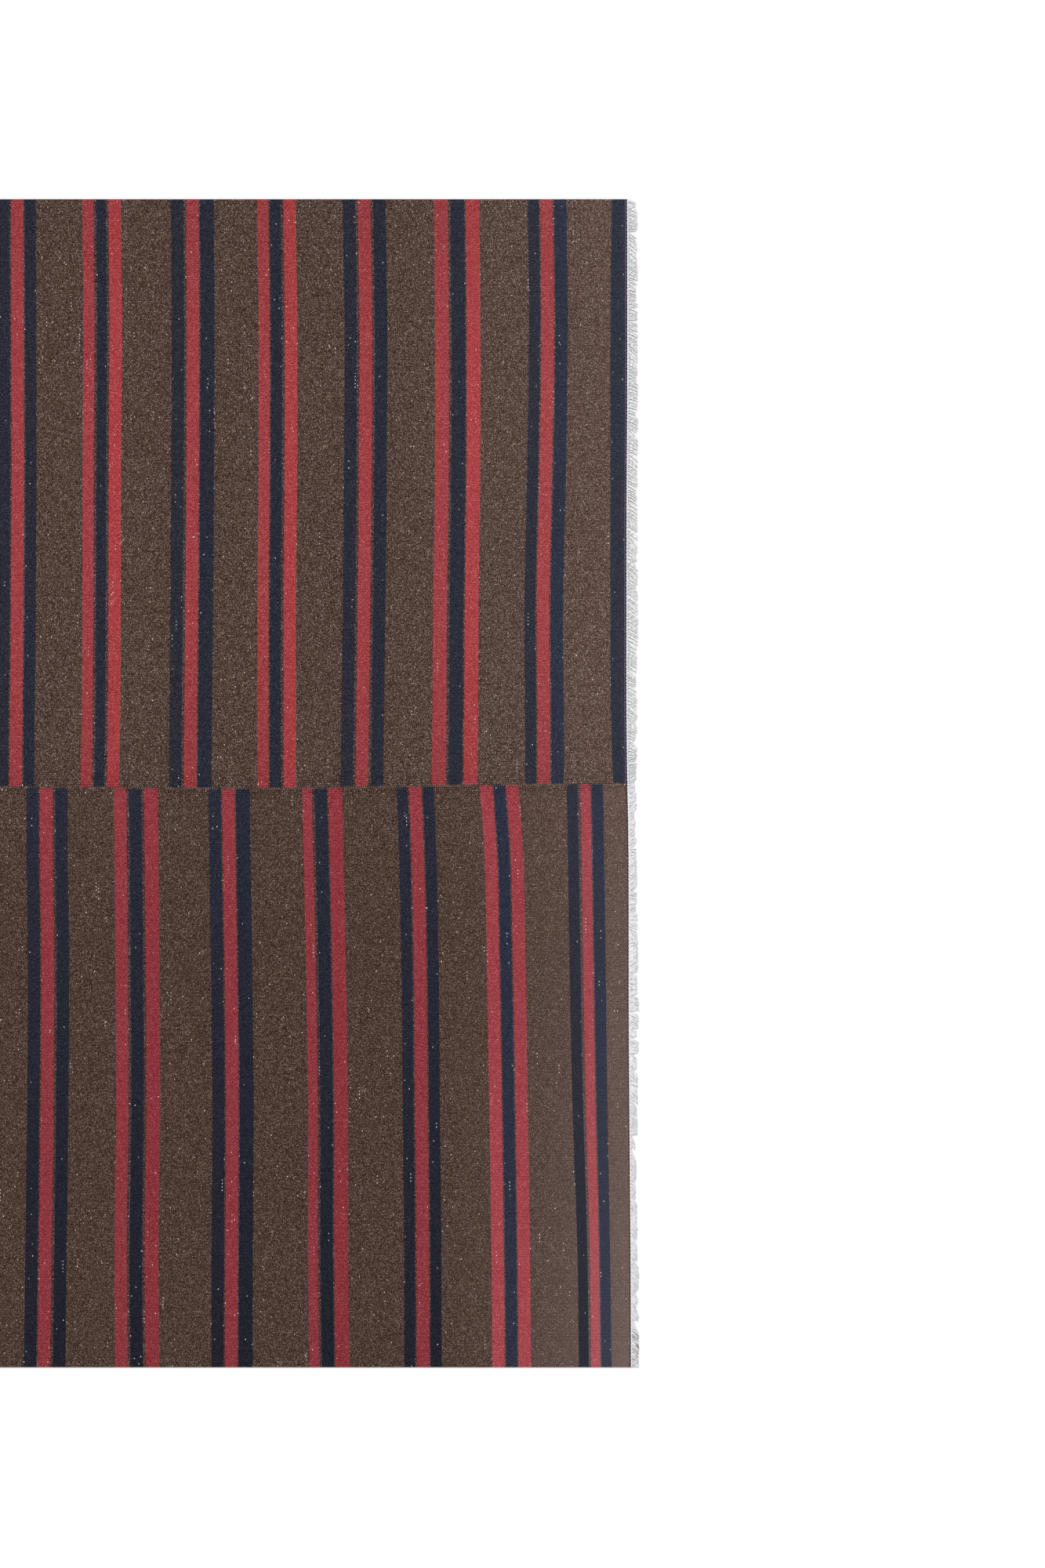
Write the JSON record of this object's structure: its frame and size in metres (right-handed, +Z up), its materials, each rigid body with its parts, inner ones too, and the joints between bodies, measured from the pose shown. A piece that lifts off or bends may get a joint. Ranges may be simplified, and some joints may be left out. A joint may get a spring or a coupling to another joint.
{
  "type": "kilim rug",
  "caption": "Flat-woven wool rug of two striped panels joined along a middle seam, with short cotton warp fringes at both ends.",
  "frame": {"origin": "middle of the rug's underside", "axes": "+X along the warps, +Y across them towards the far panel, +Z up out of the upper face"},
  "size_m": [2.4334, 1.64, 0.0026],
  "materials": {
    "brown_wool": "matt hand-woven wool weft over cotton warps, brown heather with navy and red stripes",
    "dark_brown_wool": "matt hand-woven wool weft over cotton warps, darker brown heather with navy and red stripes",
    "warp_cotton": "undyed twisted cotton yarn"
  },
  "bodies": {
    "root": {"panel_far": "brown_wool", "panel_near": "dark_brown_wool", "fringe_far_right": "warp_cotton", "fringe_near_right": "warp_cotton", "fringe_far_left": "warp_cotton", "fringe_near_left": "warp_cotton"}
  },
  "joints": []
}
